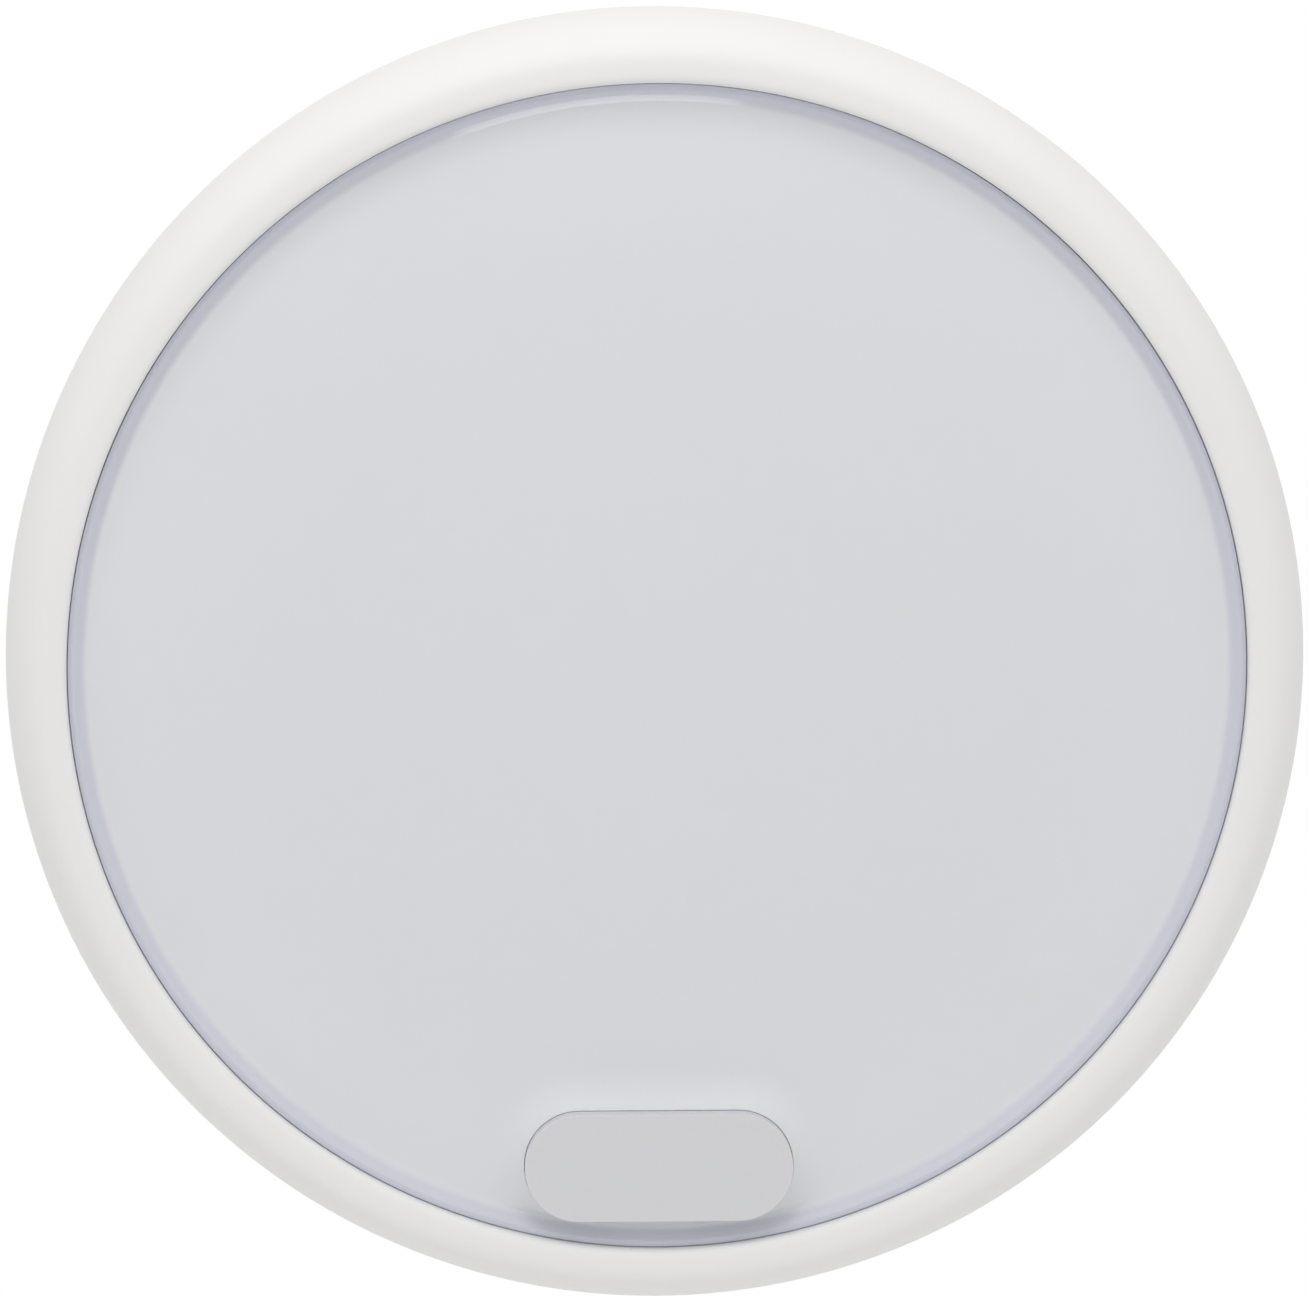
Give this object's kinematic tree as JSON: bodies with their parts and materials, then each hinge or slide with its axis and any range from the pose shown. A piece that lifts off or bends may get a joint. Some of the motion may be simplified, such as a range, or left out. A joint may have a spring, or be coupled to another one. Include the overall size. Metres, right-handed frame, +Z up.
{
  "type": "wall thermostat",
  "caption": "Round wall thermostat with a turning outer ring, a domed front that presses to click, and a display unit that pulls off a wall base with lever terminals.",
  "frame": {"origin": "centre of the base plate's back face, on the wall", "axes": "+Z up, +X to the right as seen from the front, -Y out of the wall towards the user"},
  "size_m": [0.081, 0.0273, 0.081],
  "materials": {
    "white_shell": "fine satin moulded, softly worn on the crest",
    "white_satin": "satin moulded",
    "clear_lens": "polished clear",
    "frosted_grey": "frosted, fine grain",
    "window_white": "satin infrared-clear",
    "dark_plastic": "fine texture",
    "slip_plastic": "smooth waxy",
    "circuit_board": "solder mask with copper tracks",
    "steel": "pressed and plated",
    "brass": "gold plated",
    "battery_foil": "foil laminate",
    "display_glass": "polished dark",
    "light_guide": "moulded translucent",
    "level_fluid": "clear tinted liquid"
  },
  "bodies": {
    "wall_base": {"base_plate": "white_satin", "base_cover": "white_satin", "base_board": "circuit_board", "socket_block": "dark_plastic", "level_vial": "clear_lens", "level_fluid": "level_fluid", "base_screw_1": "steel", "base_screw_2": "steel", "base_screw_3": "steel", "base_screw_4": "steel", "terminal_block_right": "dark_plastic", "terminal_block_left": "dark_plastic", "lever_axle_right": "steel", "lever_axle_left": "steel", "terminal_contact_1": "brass", "terminal_contact_2": "brass", "terminal_contact_3": "brass", "terminal_contact_4": "brass", "terminal_contact_5": "brass", "terminal_contact_6": "brass"},
    "display_unit": {"rear_housing": "white_shell", "plug_block": "dark_plastic", "plug_pins_upper": "brass", "plug_pins_lower": "brass", "usb_socket": "steel", "main_board": "circuit_board", "battery": "battery_foil", "sounder": "dark_plastic", "shield_can": "steel", "switch_body": "dark_plastic", "ring_sensor": "dark_plastic", "climate_sensor": "circuit_board", "core_chassis": "white_satin", "housing_screw_1": "steel", "housing_screw_2": "steel", "housing_screw_3": "steel", "press_spring_1": "steel", "press_spring_2": "steel", "press_spring_3": "steel", "retaining_clip_right": "steel", "retaining_clip_left": "steel"},
    "switch_plunger": {"switch_plunger": "window_white"},
    "press_head": {"head_frame": "white_satin", "ring_bearing": "slip_plastic", "display_board": "circuit_board", "light_guide": "light_guide", "display_panel": "display_glass", "diffuser": "frosted_grey", "front_lens": "clear_lens", "occupancy_window": "window_white", "occupancy_sensor": "steel"},
    "control_ring": {"control_ring": "white_shell", "ring_carrier": "dark_plastic"},
    "lever_1": {"terminal_lever_1": "white_shell"},
    "lever_2": {"terminal_lever_2": "white_shell"},
    "lever_3": {"terminal_lever_3": "white_shell"},
    "lever_4": {"terminal_lever_4": "white_shell"},
    "lever_5": {"terminal_lever_5": "white_shell"},
    "lever_6": {"terminal_lever_6": "white_shell"}
  },
  "joints": [
    {"name": "display_pull_off", "type": "slide", "parent": "wall_base", "child": "display_unit", "axis": [0, -1, 0], "range_m": [0, 0.035]},
    {"name": "display_press", "type": "slide", "parent": "display_unit", "child": "press_head", "axis": [0, 1, 0], "range_m": [0, 0.0007], "stiffness_N_per_m": 2000, "springref_m": -0.0008, "deforming": ["press_spring_1", "press_spring_2", "press_spring_3"]},
    {"name": "switch_travel", "type": "slide", "parent": "display_unit", "child": "switch_plunger", "axis": [0, 1, 0], "range_m": [0, 0.0007]},
    {"name": "ring_turn", "type": "hinge", "parent": "press_head", "child": "control_ring", "pos_m": [0, 0, 0], "axis": [0, 1, 0], "continuous": true},
    {"name": "lever_1_press", "type": "hinge", "parent": "wall_base", "child": "lever_1", "pos_m": [0.0234, -0.0064, 0], "axis": [0, 0, -1], "range_deg": [0, 10], "stiffness_Nm_per_rad": 0.05, "springref_deg": -11.46},
    {"name": "lever_2_press", "type": "hinge", "parent": "wall_base", "child": "lever_2", "pos_m": [0.0234, -0.0064, 0], "axis": [0, 0, -1], "range_deg": [0, 10], "stiffness_Nm_per_rad": 0.05, "springref_deg": -11.46},
    {"name": "lever_3_press", "type": "hinge", "parent": "wall_base", "child": "lever_3", "pos_m": [0.0234, -0.0064, 0], "axis": [0, 0, -1], "range_deg": [0, 10], "stiffness_Nm_per_rad": 0.05, "springref_deg": -11.46},
    {"name": "lever_4_press", "type": "hinge", "parent": "wall_base", "child": "lever_4", "pos_m": [-0.0234, -0.0064, 0], "axis": [0, 0, 1], "range_deg": [0, 10], "stiffness_Nm_per_rad": 0.05, "springref_deg": -11.46},
    {"name": "lever_5_press", "type": "hinge", "parent": "wall_base", "child": "lever_5", "pos_m": [-0.0234, -0.0064, 0], "axis": [0, 0, 1], "range_deg": [0, 10], "stiffness_Nm_per_rad": 0.05, "springref_deg": -11.46},
    {"name": "lever_6_press", "type": "hinge", "parent": "wall_base", "child": "lever_6", "pos_m": [-0.0234, -0.0064, 0], "axis": [0, 0, 1], "range_deg": [0, 10], "stiffness_Nm_per_rad": 0.05, "springref_deg": -11.46}
  ],
  "couplings": [
    {"joint": "switch_travel", "follows": "display_press", "ratio": 1}
  ]
}
